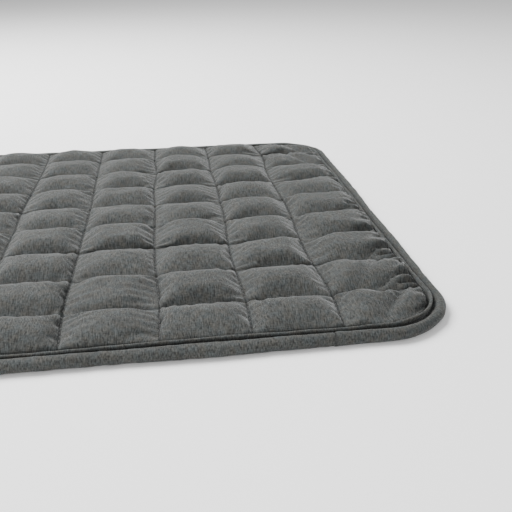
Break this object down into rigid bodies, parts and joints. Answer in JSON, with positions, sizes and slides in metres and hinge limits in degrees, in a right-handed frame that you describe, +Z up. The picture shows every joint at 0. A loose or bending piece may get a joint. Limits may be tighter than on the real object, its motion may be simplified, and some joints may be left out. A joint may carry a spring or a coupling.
{
  "type": "quilted kneeling pad",
  "caption": "Thin rectangular kneeling pad with a puffy pocket-quilted top, a corded welt, a thick padded border roll and rounded corners.",
  "frame": {"origin": "centre of the pad's underside, on the surface it lies on", "axes": "+X along the pad's long side, -Y towards the edge the user faces, +Z up out of the quilted face"},
  "size_m": [0.61, 0.364, 0.0135],
  "materials": {
    "heather_cloth": "matt dark grey heather, plain weave with short darker and lighter slubs",
    "edge_cloth": "the same heather cloth, cut on the bias for the edge",
    "base_cloth": "matt, close plain weave, darker than the top",
    "wadding": "fibrous white polyester",
    "scrim": "thin white nonwoven",
    "foam": "fine closed-cell foam, matt",
    "cord": "twisted cotton cord",
    "thread": "dark grey polyester thread, slight sheen"
  },
  "bodies": {
    "root": {"top_cover": "heather_cloth", "batting": "wadding", "quilt_scrim": "scrim", "foam_core": "foam", "base_cloth": "base_cloth", "row_quilting_thread": "thread", "column_quilting_thread": "thread", "welt_tape": "edge_cloth", "welt_cord": "cord", "border_band": "edge_cloth", "border_filler": "wadding", "edge_seam_thread": "thread", "edge_seam_under_thread": "thread", "border_join_thread": "thread"}
  },
  "joints": []
}
